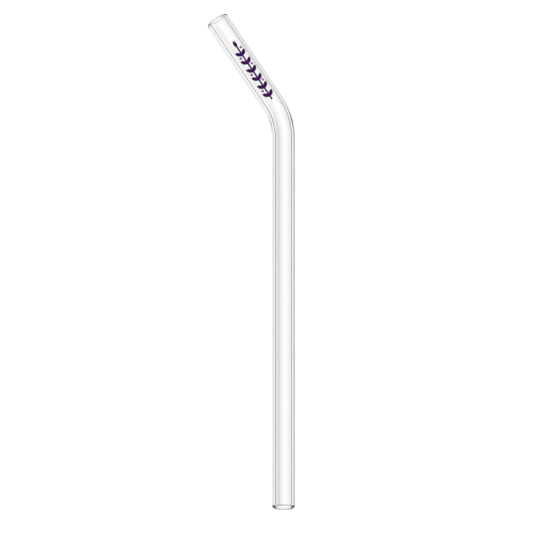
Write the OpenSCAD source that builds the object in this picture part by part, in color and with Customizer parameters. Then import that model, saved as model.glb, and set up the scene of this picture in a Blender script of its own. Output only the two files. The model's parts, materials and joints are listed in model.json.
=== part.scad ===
// Bent glass drinking straw, lying flat on a table top at z = 0.
// It is one tube of clear glass with a single bend near the mouth end and both rims
// melted round. A small sprig is printed on the upper face of the mouth leg.
// The long leg runs along Y, the mouth leg leans towards -X, and the origin is on
// the table top below the middle of the straw's outline.

/* [Tube] */
// Outside diameter of the glass tube
tube_d = 9; // [7:0.5:12]
// Thickness of the glass wall
wall = 1.4; // [0.8:0.1:2]
// Straight length of the long leg, foot rim included
long_leg = 148.4; // [100:0.1:220]
// Straight length of the mouth leg, mouth rim included
mouth_leg = 39.5; // [28:0.5:70]

/* [Bend] */
// Radius of the bend, to the middle of the tube
bend_r = 27; // [15:1:60]
// Angle by which the mouth leg leans away from the long leg
bend_angle = 33.34; // [10:0.01:60]

/* [Print] */
// Bare glass between the mouth rim and the tip of the printed sprig
bare_rim = 11.5; // [6:0.5:14]
// Thickness of the fired ink
ink = 0.08; // [0.04:0.01:0.15]
// Width of the sprig's stem
stem_w = 0.7; // [0.3:0.05:0.8]
// Bare stem below the first pair of leaves
stem_foot = 1.2; // [0.6:0.1:2]
// Distance from one pair of leaves to the next, along the stem
leaf_pitch = 3.9; // [3:0.1:6]
// Length of a leaf
leaf_l = 3.2; // [2:0.1:3.6]
// Width of a leaf across its middle
leaf_w = 1.45; // [0.8:0.05:1.6]
// Angle of a leaf from the stem
leaf_angle = 42; // [25:1:55]
// Diameter of a berry
berry_d = 1.1; // [0.6:0.05:1.3]
// Distance from the stem's middle to the middle of a berry
berry_reach = 1.3; // [1.1:0.05:1.6]

/* [Hidden] */
$fn = 96;
tube_r = tube_d / 2;
bore_r = tube_r - wall;
// The rims are melted to a full round, so their section is a circle as wide as the wall
rim_r = wall / 2;
rim_ring_r = tube_r - rim_r;
// The bend is swept this many degrees too far and then cut square to the mouth leg
spare_angle = 5;

// Middle of the mouth rim's ring, with the foot rim's end face on y = 0
mouth_ring_x = -bend_r * (1 - cos(bend_angle)) - (mouth_leg - rim_r) * sin(bend_angle);
mouth_ring_y = long_leg + bend_r * sin(bend_angle) + (mouth_leg - rim_r) * cos(bend_angle);
// Outline of the straw seen from above
left_x = mouth_ring_x - rim_ring_r * cos(bend_angle) - rim_r;
right_x = tube_r;
top_y = mouth_ring_y + rim_ring_r * sin(bend_angle) + rim_r;

// The sprig has as many pairs of leaves as fit between the bend and the bare rim, and
// grows towards the mouth. Its tip is set by the bare rim.
leaf_pairs = floor((mouth_leg - bare_rim - stem_foot - leaf_l) / leaf_pitch);
stem_l = stem_foot + leaf_pairs * leaf_pitch;
sprig_y = mouth_leg - bare_rim - leaf_l - stem_l;

// Places its children in the straw's own frame, from a frame that has the foot rim's
// end face on y = 0 and the tube's axis on z = 0
module on_table() {
    translate([-(left_x + right_x) / 2, -top_y / 2, tube_r])
        children();
}

// Places its children at the end of the bend, with +Y along the mouth leg
module on_mouth_leg() {
    translate([-bend_r, long_leg, 0])
        rotate([0, 0, bend_angle])
            translate([bend_r, 0, 0])
                children();
}

// A straight tube along +Y from its plain end at y = 0 to its melted rim
module leg(length) {
    rotate([-90, 0, 0])
        rotate_extrude() {
            translate([bore_r, 0])
                square([wall, length - rim_r]);
            translate([rim_ring_r, length - rim_r])
                circle(rim_r);
        }
}

// The bend, from the long leg's plain end to the mouth leg's
module bend() {
    difference() {
        translate([-bend_r, long_leg, 0])
            rotate_extrude(angle = bend_angle + spare_angle)
                translate([bend_r, 0])
                    difference() {
                        circle(tube_r);
                        circle(bore_r);
                    }
        on_mouth_leg()
            translate([-tube_d, 0, -tube_d])
                cube(2 * tube_d);
    }
}

module glass_tube() {
    color([0.86, 0.93, 0.92, 0.35])
        on_table() {
            translate([0, long_leg, 0])
                rotate([0, 0, 180])
                    leg(long_leg);
            bend();
            on_mouth_leg()
                leg(mouth_leg);
        }
}

// A pointed leaf from the origin along +Y, between two arcs
module leaf() {
    arc_r = (pow(leaf_l, 2) + pow(leaf_w, 2)) / (4 * leaf_w);
    translate([0, leaf_l / 2])
        intersection() {
            translate([arc_r - leaf_w / 2, 0])
                circle(arc_r);
            translate([leaf_w / 2 - arc_r, 0])
                circle(arc_r);
        }
}

// Stem, leaf pairs and the leaf at the tip, along +Y from the origin
module sprig_outline() {
    translate([-stem_w / 2, 0])
        square([stem_w, stem_l + stem_w]);
    circle(stem_w / 2);
    translate([0, stem_l])
        leaf();
    for (i = [0 : leaf_pairs - 1], side = [-1, 1])
        translate([0, stem_foot + i * leaf_pitch])
            rotate([0, 0, side * leaf_angle])
                leaf();
}

// One berry above each pair of leaves, on alternate sides of the stem
module berry_outline() {
    for (i = [1 : leaf_pairs])
        translate([
            berry_reach * (i % 2 == 0 ? 1 : -1),
            stem_foot + i * leaf_pitch - berry_d / 2
        ])
            circle(berry_d / 2);
}

// Ink of the outline given as children, laid on the glass of the mouth leg
module printed() {
    on_table()
        on_mouth_leg()
            intersection() {
                rotate([-90, 0, 0])
                    difference() {
                        cylinder(h = mouth_leg, r = tube_r + ink);
                        cylinder(h = mouth_leg, r = tube_r);
                    }
                translate([0, sprig_y, 0])
                    linear_extrude(tube_d)
                        children();
            }
}

module leaf_print() {
    color([0.25, 0.07, 0.35])
        printed()
            sprig_outline();
}

module berry_print() {
    color([0.6, 0.45, 0.68])
        printed()
            berry_outline();
}

glass_tube();
leaf_print();
berry_print();
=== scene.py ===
import json
import math

import bmesh
import bpy
from mathutils import Matrix, Vector


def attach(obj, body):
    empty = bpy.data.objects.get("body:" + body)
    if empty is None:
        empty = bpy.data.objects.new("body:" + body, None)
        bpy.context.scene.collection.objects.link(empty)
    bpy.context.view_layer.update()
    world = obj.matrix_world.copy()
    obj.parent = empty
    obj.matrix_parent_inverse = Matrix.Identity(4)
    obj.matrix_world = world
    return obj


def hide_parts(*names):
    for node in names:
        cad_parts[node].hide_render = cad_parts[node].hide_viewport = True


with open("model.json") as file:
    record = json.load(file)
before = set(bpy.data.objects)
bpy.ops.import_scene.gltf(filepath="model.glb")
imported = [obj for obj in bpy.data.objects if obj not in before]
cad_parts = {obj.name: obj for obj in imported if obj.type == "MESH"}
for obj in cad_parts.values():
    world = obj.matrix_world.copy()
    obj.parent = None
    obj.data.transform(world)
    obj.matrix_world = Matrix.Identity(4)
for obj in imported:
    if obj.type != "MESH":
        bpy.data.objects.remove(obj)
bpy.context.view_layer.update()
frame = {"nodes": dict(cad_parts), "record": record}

scene = bpy.context.scene

# The straw is one piece of clear borosilicate tube, drawn straight, heated and bent once
# near the mouth end. Both rims are melted in a flame until their edge is fully round.
mounts = {mount["name"]: mount for mount in frame["record"]["mounts"]}
foot_wall = Vector(mounts["foot_bore"]["pos_m"])
mouth_wall = Vector(mounts["mouth_bore"]["pos_m"])
mouth_axis = Vector(mounts["mouth_bore"]["axis"]).normalized()
long_wall_l = mounts["foot_bore"]["dims"]["length_mm"] / 1000
mouth_wall_l = mounts["mouth_bore"]["dims"]["length_mm"] / 1000
tube_r = mounts["long_leg_outside"]["dims"]["r_mm"] / 1000
bore_r = mounts["foot_bore"]["dims"]["r_mm"] / 1000
rim_r = (tube_r - bore_r) / 2
bend_angle = math.atan2(-mouth_axis.x, mouth_axis.y)
bend_start = foot_wall + Vector((0, long_wall_l, 0))
bend_end = mouth_wall - mouth_axis * mouth_wall_l
bend_r = (bend_end - bend_start).length / (2 * math.sin(bend_angle / 2))
bend_centre = bend_start - Vector((bend_r, 0, 0))
around_steps = 128
rim_steps = 16
bend_steps = 40
weld = 1e-7
# A guard ring next to each rim keeps the shading of the straight glass straight, and a
# collar ring ends the mouth rim's painted shade
guard = 0.0001
collar = 0.0012


def spun_leg(length):
    """A leg along +Y from its open end at the origin to its melted rim."""
    bm = bmesh.new()
    outside = [bm.verts.new((tube_r, y, 0))
               for y in (0, length - collar, length - guard, length)]
    rim = bmesh.ops.spin(
        bm, geom=outside[-1:], cent=(tube_r - rim_r, length, 0), axis=(0, 0, 1),
        angle=math.pi, steps=rim_steps)
    inside = [v for v in rim["geom_last"] if isinstance(v, bmesh.types.BMVert)]
    inside += [bm.verts.new((bore_r, y, 0)) for y in (length - guard, 0)]
    for line in (outside, inside):
        for start, end in zip(line, line[1:]):
            bm.edges.new((start, end))
    bmesh.ops.spin(
        bm, geom=bm.verts[:] + bm.edges[:], cent=(0, 0, 0), axis=(0, 1, 0),
        angle=math.tau, steps=around_steps, use_merge=True)
    return bm


def drawn_place(point):
    """Where a point of the straw was on the straight tube, before it was bent."""
    arm = point - bend_centre
    turn = min(max(math.atan2(arm.y, arm.x), 0), bend_angle)
    arm.rotate(Matrix.Rotation(-turn, 3, "Z"))
    return Vector((arm.x - bend_r, arm.y + bend_r * turn, arm.z))


# The glass is painted darker where it is seen at a slant, between two values of Facing,
# as painted shade for its dark lines. Past them the bore keeps a little brightness, and
# the outside what its own painted shade leaves.
bore_slants = (0.55, 0.9)
bore_brightness = 0.1
outside_slants = (0.44, 0.56)
# Painted shade of the outside on the left and the right of the tube, from 0 to 1. In the
# bend each side has an accent of painted shade, whose middle and width are degrees of the
# bend's turn.
left_painted_shade = 0.05
left_accent_painted_shade = 0.6
left_shade_accent = (15, 7)
# The right side's painted shade stands for the straw's own shadow seen through its wall
right_painted_shade = 0.7
right_painted_shade_past_bend = 0.35
right_accent_painted_shade = 1
right_shade_accent = (13, 8)
# Painted shade of the mouth rim, on its left and its right side
mouth_rim_painted_shades = (0.9, 1)
shade_side_slope = 0.7


def blend(a, b, share):
    """The value that lies this share of the way from a to b, with the share kept in 0 to 1."""
    return a + (b - a) * min(max(share, 0), 1)


def shade_accent_share(turn, middle, width):
    """1 in the middle of an accent of painted shade, falling off to 0 on both sides."""
    return math.exp(-((turn - middle) / width) ** 2)


def slant_painted_shade(place):
    """The slants between which the glass is painted darker, and its brightness past them."""
    if math.hypot(place.x, place.z) < tube_r - rim_r:
        return Vector((*bore_slants, bore_brightness))
    bend_l = bend_r * bend_angle
    turn = math.degrees(place.y / bend_r)
    left = blend(left_painted_shade, left_accent_painted_shade, shade_accent_share(turn, *left_shade_accent))
    right = blend(right_painted_shade, right_painted_shade_past_bend, place.y / bend_l)
    right = blend(right, right_accent_painted_shade, shade_accent_share(turn, *right_shade_accent))
    if place.y > bend_l + mouth_wall_l - collar / 2:
        left, right = mouth_rim_painted_shades
    # Painted shade, blended across the tube from its left side to its right
    grey = blend(left, right, 0.5 + shade_side_slope * place.x / tube_r)
    return Vector((*outside_slants, 1 - grey))


def material(name):
    """A new material, its nodes, the call that links them, and its Principled shader."""
    mat = bpy.data.materials.new(name)
    mat.use_nodes = True
    nodes = mat.node_tree.nodes
    return mat, nodes, mat.node_tree.links.new, nodes["Principled BSDF"]


glass_ior = 1.47
darkest_painted_shade = (0, 0.01, 0.009, 1)
unshaded_glass = (1, 1, 1, 1)
shadow_tint = (0.93, 0.945, 0.94, 1)
# Waves of the drawing lines per metre: many across the tube, few along it
drawing_lines = (900, 12, 900)
drawing_depth = 0.0002
drawing_strength = 0.03


def clear_glass():
    """Clear glass with faint drawing lines, and painted shade where it is seen at a slant."""
    mat, nodes, link, shader = material("clear borosilicate")
    shader.inputs["Transmission Weight"].default_value = 1
    shader.inputs["IOR"].default_value = glass_ior
    shader.inputs["Roughness"].default_value = 0

    # Painted shade: the colour darkens where the glass is seen at a slant, by values on its
    # points
    slant = nodes.new("ShaderNodeLayerWeight")
    painted_shade_values = nodes.new("ShaderNodeAttribute")
    painted_shade_values.attribute_name = "slant_painted_shade"
    split = nodes.new("ShaderNodeSeparateXYZ")
    shade_factor = nodes.new("ShaderNodeMapRange")
    shade_factor.inputs["To Min"].default_value = 1
    shaded_colour = nodes.new("ShaderNodeMix")
    shaded_colour.data_type = "RGBA"
    shaded_colour.inputs[6].default_value = darkest_painted_shade
    shaded_colour.inputs[7].default_value = unshaded_glass
    link(painted_shade_values.outputs["Vector"], split.inputs["Vector"])
    link(slant.outputs["Facing"], shade_factor.inputs["Value"])
    link(split.outputs["X"], shade_factor.inputs["From Min"])
    link(split.outputs["Y"], shade_factor.inputs["From Max"])
    link(split.outputs["Z"], shade_factor.inputs["To Max"])
    link(shade_factor.outputs["Result"], shaded_colour.inputs["Factor"])
    link(shaded_colour.outputs[2], shader.inputs["Base Color"])

    drawn = nodes.new("ShaderNodeAttribute")
    drawn.attribute_name = "drawn"
    stretch = nodes.new("ShaderNodeMapping")
    stretch.inputs["Scale"].default_value = drawing_lines
    lines = nodes.new("ShaderNodeTexNoise")
    lines.inputs["Scale"].default_value = 1
    lines.inputs["Detail"].default_value = 2
    bump = nodes.new("ShaderNodeBump")
    bump.inputs["Strength"].default_value = drawing_strength
    bump.inputs["Distance"].default_value = drawing_depth
    link(drawn.outputs["Vector"], stretch.inputs["Vector"])
    link(stretch.outputs["Vector"], lines.inputs["Vector"])
    link(lines.outputs["Fac"], bump.inputs["Height"])
    link(bump.outputs["Normal"], shader.inputs["Normal"])

    clear = nodes.new("ShaderNodeBsdfTransparent")
    clear.inputs["Color"].default_value = shadow_tint
    path = nodes.new("ShaderNodeLightPath")
    mix = nodes.new("ShaderNodeMixShader")
    link(path.outputs["Is Shadow Ray"], mix.inputs["Fac"])
    link(shader.outputs["BSDF"], mix.inputs[1])
    link(clear.outputs["BSDF"], mix.inputs[2])
    link(mix.outputs["Shader"], nodes["Material Output"].inputs["Surface"])
    return mat


def finished(bm, name, mat, replaced):
    """Makes the mesh a smooth piece that rides on the straw in place of a CAD node."""
    mesh = bpy.data.meshes.new(name)
    bm.to_mesh(mesh)
    bm.free()
    for face in mesh.polygons:
        face.use_smooth = True
    mesh.materials.append(mat)
    piece = bpy.data.objects.new(name, mesh)
    scene.collection.objects.link(piece)
    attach(piece, "root")
    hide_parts(replaced)


# The mouth leg's plain end is swept round the bend, and the long leg is welded to it
glass = spun_leg(mouth_wall_l)
glass.transform(Matrix.Translation(bend_end) @ Matrix.Rotation(bend_angle, 4, "Z"))
plain_end = [edge for edge in glass.edges if edge.is_boundary]
bmesh.ops.spin(
    glass, geom=plain_end, cent=bend_centre, axis=(0, 0, -1), angle=bend_angle,
    steps=bend_steps)
long_leg = spun_leg(long_wall_l)
long_leg.transform(Matrix.Translation(bend_start) @ Matrix.Rotation(math.pi, 4, "Z"))
joined = bpy.data.meshes.new("long leg")
long_leg.to_mesh(joined)
long_leg.free()
glass.from_mesh(joined)
bmesh.ops.remove_doubles(glass, verts=glass.verts, dist=weld)
bmesh.ops.recalc_face_normals(glass, faces=glass.faces)
drawn_layer = glass.verts.layers.float_vector.new("drawn")
# Each point's painted shade
painted_shade_layer = glass.verts.layers.float_vector.new("slant_painted_shade")
for vert in glass.verts:
    vert[drawn_layer] = drawn_place(vert.co)
    vert[painted_shade_layer] = slant_painted_shade(vert[drawn_layer])
finished(glass, "glass_straw_tube", clear_glass(), "glass_tube")


# The print is ceramic ink, screened onto the upper face of the mouth leg and fired, so it
# is fused to the glass. The leaves and stem are dark purple, the berries a pale mauve.
ink_gap = 0.000003
ink_t = 0.00005
strip_w = 0.0002
# Each ink's colour where it lies thick and where it lies thin
dark_ink = ((0.04, 0.003, 0.077), (0.062, 0.006, 0.115))
mauve_ink = ((0.3, 0.15, 0.38), (0.4, 0.23, 0.48))
ink_shine = 0.08
ink_roughness = (0.28, 0.42)
mottle_scale = 1800
# The mottle's noise values where the ink starts to be thin and where it is thinnest
mottle_span = (0.3, 0.75)
mottle_depth = 0.00002
mottle_strength = 0.15


def laid_ink(node):
    """The CAD print's outer skin, cut into strips, laid on the round glass and thickened."""
    bm = bmesh.new()
    bm.from_mesh(frame["nodes"][node].data)
    bmesh.ops.remove_doubles(bm, verts=bm.verts, dist=weld)
    to_leg = (Matrix.Translation(bend_end) @ Matrix.Rotation(bend_angle, 4, "Z")).inverted()
    bm.transform(to_leg)
    skin_r = tube_r + ink_t / 2
    under = [f for f in bm.faces
             if min(math.hypot(v.co.x, v.co.z) for v in f.verts) < skin_r]
    bmesh.ops.delete(bm, geom=under, context="FACES")
    reach = max(abs(v.co.x) for v in bm.verts)
    strips = math.ceil(reach / strip_w)
    for i in range(-strips, strips + 1):
        bmesh.ops.bisect_plane(
            bm, geom=bm.verts[:] + bm.edges[:] + bm.faces[:], dist=weld,
            plane_co=(i * strip_w, 0, 0), plane_no=(1, 0, 0))
    for v in bm.verts:
        to_glass = (tube_r + ink_gap) / math.hypot(v.co.x, v.co.z)
        v.co.x *= to_glass
        v.co.z *= to_glass
    bmesh.ops.recalc_face_normals(bm, faces=bm.faces)
    bm.normal_update()
    if sum(f.normal.z for f in bm.faces) < 0:
        bmesh.ops.reverse_faces(bm, faces=bm.faces)
    bmesh.ops.solidify(bm, geom=bm.faces[:], thickness=-ink_t)
    bmesh.ops.recalc_face_normals(bm, faces=bm.faces)
    bm.transform(to_leg.inverted())
    return bm


def ink_mottle():
    """A node group: ink that lies thicker and thinner, with an uneven colour and gloss."""
    group = bpy.data.node_groups.new("fired ink mottle", "ShaderNodeTree")
    for name, way, kind in (
            ("Thick", "INPUT", "NodeSocketColor"), ("Thin", "INPUT", "NodeSocketColor"),
            ("Color", "OUTPUT", "NodeSocketColor"), ("Roughness", "OUTPUT", "NodeSocketFloat"),
            ("Normal", "OUTPUT", "NodeSocketVector")):
        group.interface.new_socket(name, in_out=way, socket_type=kind)
    nodes = group.nodes
    link = group.links.new
    ink_colours = nodes.new("NodeGroupInput")
    place = nodes.new("ShaderNodeTexCoord")
    grain = nodes.new("ShaderNodeTexNoise")
    grain.inputs["Scale"].default_value = mottle_scale
    grain.inputs["Detail"].default_value = 4
    thinness = nodes.new("ShaderNodeMapRange")
    thinness.inputs["From Min"].default_value = mottle_span[0]
    thinness.inputs["From Max"].default_value = mottle_span[1]
    colour = nodes.new("ShaderNodeMix")
    colour.data_type = "RGBA"
    gloss = nodes.new("ShaderNodeMapRange")
    gloss.inputs["To Min"].default_value = ink_roughness[0]
    gloss.inputs["To Max"].default_value = ink_roughness[1]
    bump = nodes.new("ShaderNodeBump")
    bump.inputs["Strength"].default_value = mottle_strength
    bump.inputs["Distance"].default_value = mottle_depth
    out = nodes.new("NodeGroupOutput")
    link(place.outputs["Object"], grain.inputs["Vector"])
    link(grain.outputs["Fac"], thinness.inputs["Value"])
    link(thinness.outputs["Result"], colour.inputs["Factor"])
    link(ink_colours.outputs["Thick"], colour.inputs[6])
    link(ink_colours.outputs["Thin"], colour.inputs[7])
    link(grain.outputs["Fac"], gloss.inputs["Value"])
    link(grain.outputs["Fac"], bump.inputs["Height"])
    link(colour.outputs[2], out.inputs["Color"])
    link(gloss.outputs["Result"], out.inputs["Roughness"])
    link(bump.outputs["Normal"], out.inputs["Normal"])
    return group


def fired_ink(name, mottle, thick, thin):
    """Ink fired onto the glass, of one colour where it is thick and another where it is thin."""
    mat, nodes, link, shader = material(name)
    effect = nodes.new("ShaderNodeGroup")
    effect.node_tree = mottle
    effect.inputs["Thick"].default_value = (*thick, 1)
    effect.inputs["Thin"].default_value = (*thin, 1)
    shader.inputs["Specular IOR Level"].default_value = ink_shine
    link(effect.outputs["Color"], shader.inputs["Base Color"])
    link(effect.outputs["Roughness"], shader.inputs["Roughness"])
    link(effect.outputs["Normal"], shader.inputs["Normal"])
    return mat


mottle = ink_mottle()
finished(
    laid_ink("leaf_print"), "printed_leaves",
    fired_ink("dark purple ink", mottle, *dark_ink), "leaf_print")
finished(
    laid_ink("berry_print"), "printed_berries",
    fired_ink("mauve ink", mottle, *mauve_ink), "berry_print")


# The straw lies on a plain white table top. Seen straight it is white, with the straw's
# faint shadow; rays through or off the glass meet the pale light dome below it instead.
table_half = 3.0
table_grey = 0.3
table_glow = 0.8


def white_table():
    """White to the camera, with soft shadows, and not there for rays from the glass."""
    mat, nodes, link, shader = material("white table top")
    shader.inputs["Base Color"].default_value = (table_grey, table_grey, table_grey, 1)
    shader.inputs["Roughness"].default_value = 1
    shader.inputs["Specular IOR Level"].default_value = 0
    path = nodes.new("ShaderNodeLightPath")
    seen = nodes.new("ShaderNodeMath")
    seen.operation = "MULTIPLY"
    seen.inputs[1].default_value = table_glow
    glow = nodes.new("ShaderNodeEmission")
    lit = nodes.new("ShaderNodeAddShader")
    by_glass = nodes.new("ShaderNodeMath")
    by_glass.operation = "MAXIMUM"
    gone = nodes.new("ShaderNodeBsdfTransparent")
    out = nodes.new("ShaderNodeMixShader")
    link(path.outputs["Is Camera Ray"], seen.inputs[0])
    link(seen.outputs["Value"], glow.inputs["Strength"])
    link(shader.outputs["BSDF"], lit.inputs[0])
    link(glow.outputs["Emission"], lit.inputs[1])
    link(path.outputs["Is Glossy Ray"], by_glass.inputs[0])
    link(path.outputs["Is Transmission Ray"], by_glass.inputs[1])
    link(by_glass.outputs["Value"], out.inputs["Fac"])
    link(lit.outputs["Shader"], out.inputs[1])
    link(gone.outputs["BSDF"], out.inputs[2])
    link(out.outputs["Shader"], nodes["Material Output"].inputs["Surface"])
    return mat


table_mesh = bpy.data.meshes.new("table_top")
table_bm = bmesh.new()
bmesh.ops.create_grid(table_bm, x_segments=1, y_segments=1, size=table_half)
table_bm.to_mesh(table_mesh)
table_bm.free()
table_mesh.materials.append(white_table())
table = bpy.data.objects.new("table_top", table_mesh)
scene.collection.objects.link(table)


# The light is a dome built as for a studio picture of glass. Below the straw lie two pale
# panels with a seam between them, then a darker band that draws the glass's dark lines.
# Above it a wide softbox fades from the front right to a dim room at the back left.
world = bpy.data.worlds.new("light dome")
scene.world = world
world.use_nodes = True
dome = world.node_tree.nodes
dome_link = world.node_tree.links.new


def feed(socket, value):
    """Gives a socket a number, or links it to another node's output."""
    if isinstance(value, (int, float)):
        socket.default_value = value
    else:
        dome_link(value, socket)


def dome_ramp(value, stops):
    """A ramp of plain greys over the value, from (position, brightness) stops."""
    ramp = dome.new("ShaderNodeValToRGB")
    elements = ramp.color_ramp.elements
    while len(elements) < len(stops):
        elements.new(1)
    for element, (position, grey) in zip(elements, stops):
        element.position = position
        element.color = (grey, grey, grey, 1)
    feed(ramp.inputs["Fac"], value)
    return ramp.outputs["Color"]


def dome_math(operation, *values):
    """A Math node on sockets or numbers."""
    node = dome.new("ShaderNodeMath")
    node.operation = operation
    for socket, value in zip(node.inputs, values):
        feed(socket, value)
    return node.outputs["Value"]


def dome_mix(factor, a, b):
    """A plain blend from a to b."""
    node = dome.new("ShaderNodeMix")
    feed(node.inputs["Factor"], factor)
    feed(node.inputs["A"], a)
    feed(node.inputs["B"], b)
    return node.outputs["Result"]


def ramp_place(value):
    """A direction's component, -1 to 1, as a place on a ramp, 0 to 1."""
    return dome_math("MULTIPLY_ADD", value, 0.5, 0.5)


direction = dome.new("ShaderNodeTexCoord").outputs["Generated"]
components = dome.new("ShaderNodeSeparateXYZ")
dome_link(direction, components.inputs["Vector"])
x, y, z = (components.outputs[name] for name in "XYZ")
down = dome_math("MULTIPLY", z, -1)

# The two panels from left to right, with the seam between them. They are brighter towards
# the foot, and end on both sides of a strip that runs a little askew below the straw.
panel_stops = [
    (0.25, 1.0), (0.33, 0.83), (0.39, 0.83), (0.4, 0.55), (0.41, 0.55), (0.42, 0.73),
    (0.43, 0.73), (0.47, 0.81), (0.5, 0.91), (0.53, 0.96), (0.56, 0.97), (0.6, 0.87),
    (0.67, 0.87), (0.75, 1.0)]
foot_stops = [(0.11, 1), (0.2, 0)]
foot_panel = 0.93
strip_y = 0.2
strip_slope = 0.31
strip_stops = [(0.34, 0.35), (0.38, 1), (0.62, 1), (0.66, 0.6)]
straight_down_stops = [(0.86, 0), (0.92, 1)]
panels = dome_ramp(ramp_place(x), panel_stops)
panels = dome_mix(
    dome_ramp(y, foot_stops), panels, dome_math("MAXIMUM", panels, foot_panel))
off_strip = dome_math("MULTIPLY_ADD", x, -strip_slope, dome_math("SUBTRACT", y, strip_y))
strip = dome_ramp(ramp_place(off_strip), strip_stops)
straight_down = dome_ramp(down, straight_down_stops)
panels = dome_math("MULTIPLY", panels, dome_math("MAXIMUM", strip, straight_down))

# The band round the panels: dark cards at both ends of the strip, and open pale room
# elsewhere. The horizon above it is pale too.
horizon_stops = [(0.3, 1), (0.34, 0)]
horizon_level = 0.92
card_stops = [(0.32, 1), (0.42, 0)]
card_slope = 0.6
card_level = 0.085
card_least = 0.03
open_room_level = 0.88
band_stops = [(0.28, 0), (0.34, 1), (0.58, 1), (0.62, 0)]
below = dome_mix(dome_ramp(down, horizon_stops), panels, horizon_level)
card = dome_math(
    "MAXIMUM", dome_math("MULTIPLY_ADD", y, card_slope, card_level), card_least)
card_share = dome_ramp(dome_math("ABSOLUTE", off_strip), card_stops)
band = dome_mix(card_share, open_room_level, card)
below = dome_mix(dome_ramp(down, band_stops), below, band)

# The softbox and the room above, and the plain levels for diffuse and camera rays. The
# softbox is brightest high up, so that the straw's edges show against it from low down.
softbox_way = (0.4, -0.9, 0.6)
softbox_fade = 1.5
softbox_side_level = 0.8
low_softbox_level = 0.75
high_softbox_level = 1.5
high_stops = [(0.45, 0), (0.7, 1)]
room_level = 0.05
sky_stops = [(0.0, 0), (0.2, 1)]
diffuse_level = 0.65
to_softbox = dome.new("ShaderNodeVectorMath")
to_softbox.operation = "DOT_PRODUCT"
to_softbox.inputs[1].default_value = softbox_way
dome_link(direction, to_softbox.inputs[0])
above = dome_math(
    "MULTIPLY_ADD", to_softbox.outputs["Value"], softbox_fade, softbox_side_level)
softbox_level = dome_mix(
    dome_ramp(z, high_stops), low_softbox_level, high_softbox_level)
above = dome_math("MINIMUM", dome_math("MAXIMUM", above, room_level), softbox_level)
all_round = dome_mix(dome_ramp(z, sky_stops), below, above)
path = dome.new("ShaderNodeLightPath")
all_round = dome_mix(path.outputs["Is Diffuse Ray"], all_round, diffuse_level)
brightness = dome_mix(path.outputs["Is Camera Ray"], all_round, 1.0)
dome_link(brightness, dome["Background"].inputs["Strength"])
dome["Background"].inputs["Color"].default_value = (1, 1, 1, 1)

# One square lamp at the front right gives the straw its soft shadow on the table
lamp_place = Vector((0.35, -0.2, 0.8))
lamp = bpy.data.lights.new("key softbox", "AREA")
lamp.size = 0.6
lamp.energy = 2.4
key_softbox = bpy.data.objects.new("key softbox", lamp)
key_softbox.location = lamp_place
key_softbox.rotation_euler = (-lamp_place).to_track_quat("-Z", "Y").to_euler()
key_softbox.visible_glossy = False
key_softbox.visible_transmission = False
scene.collection.objects.link(key_softbox)


# The camera stands over the straw and leans back a little towards the foot, as the open
# ellipses of both rims show. The photograph has no visible perspective.
camera_tilt = math.radians(13.35)
stand_off = 0.6
# The photograph's side and the tube's width in its pixels, then how far from its left
# edge the long leg's axis lies, and how far from its top the foot end
photo_px = 533
tube_px = 23.0
axis_px = 283.5
foot_px = 507.7
px = 2 * tube_r / tube_px
look = Vector((0, math.sin(camera_tilt), -math.cos(camera_tilt)))
up = Vector((0, math.cos(camera_tilt), math.sin(camera_tilt)))
foot_end = foot_wall - Vector((0, rim_r, 0))
middle = foot_end + up * (foot_px - photo_px / 2) * px
middle.x += (photo_px / 2 - axis_px) * px
camera_data = bpy.data.cameras.new("camera")
camera_data.type = "ORTHO"
camera_data.ortho_scale = photo_px * px
camera = bpy.data.objects.new("camera", camera_data)
camera.location = middle - look * stand_off
camera.rotation_euler = (camera_tilt, 0, 0)
scene.collection.objects.link(camera)
scene.camera = camera
scene.view_settings.view_transform = "Standard"
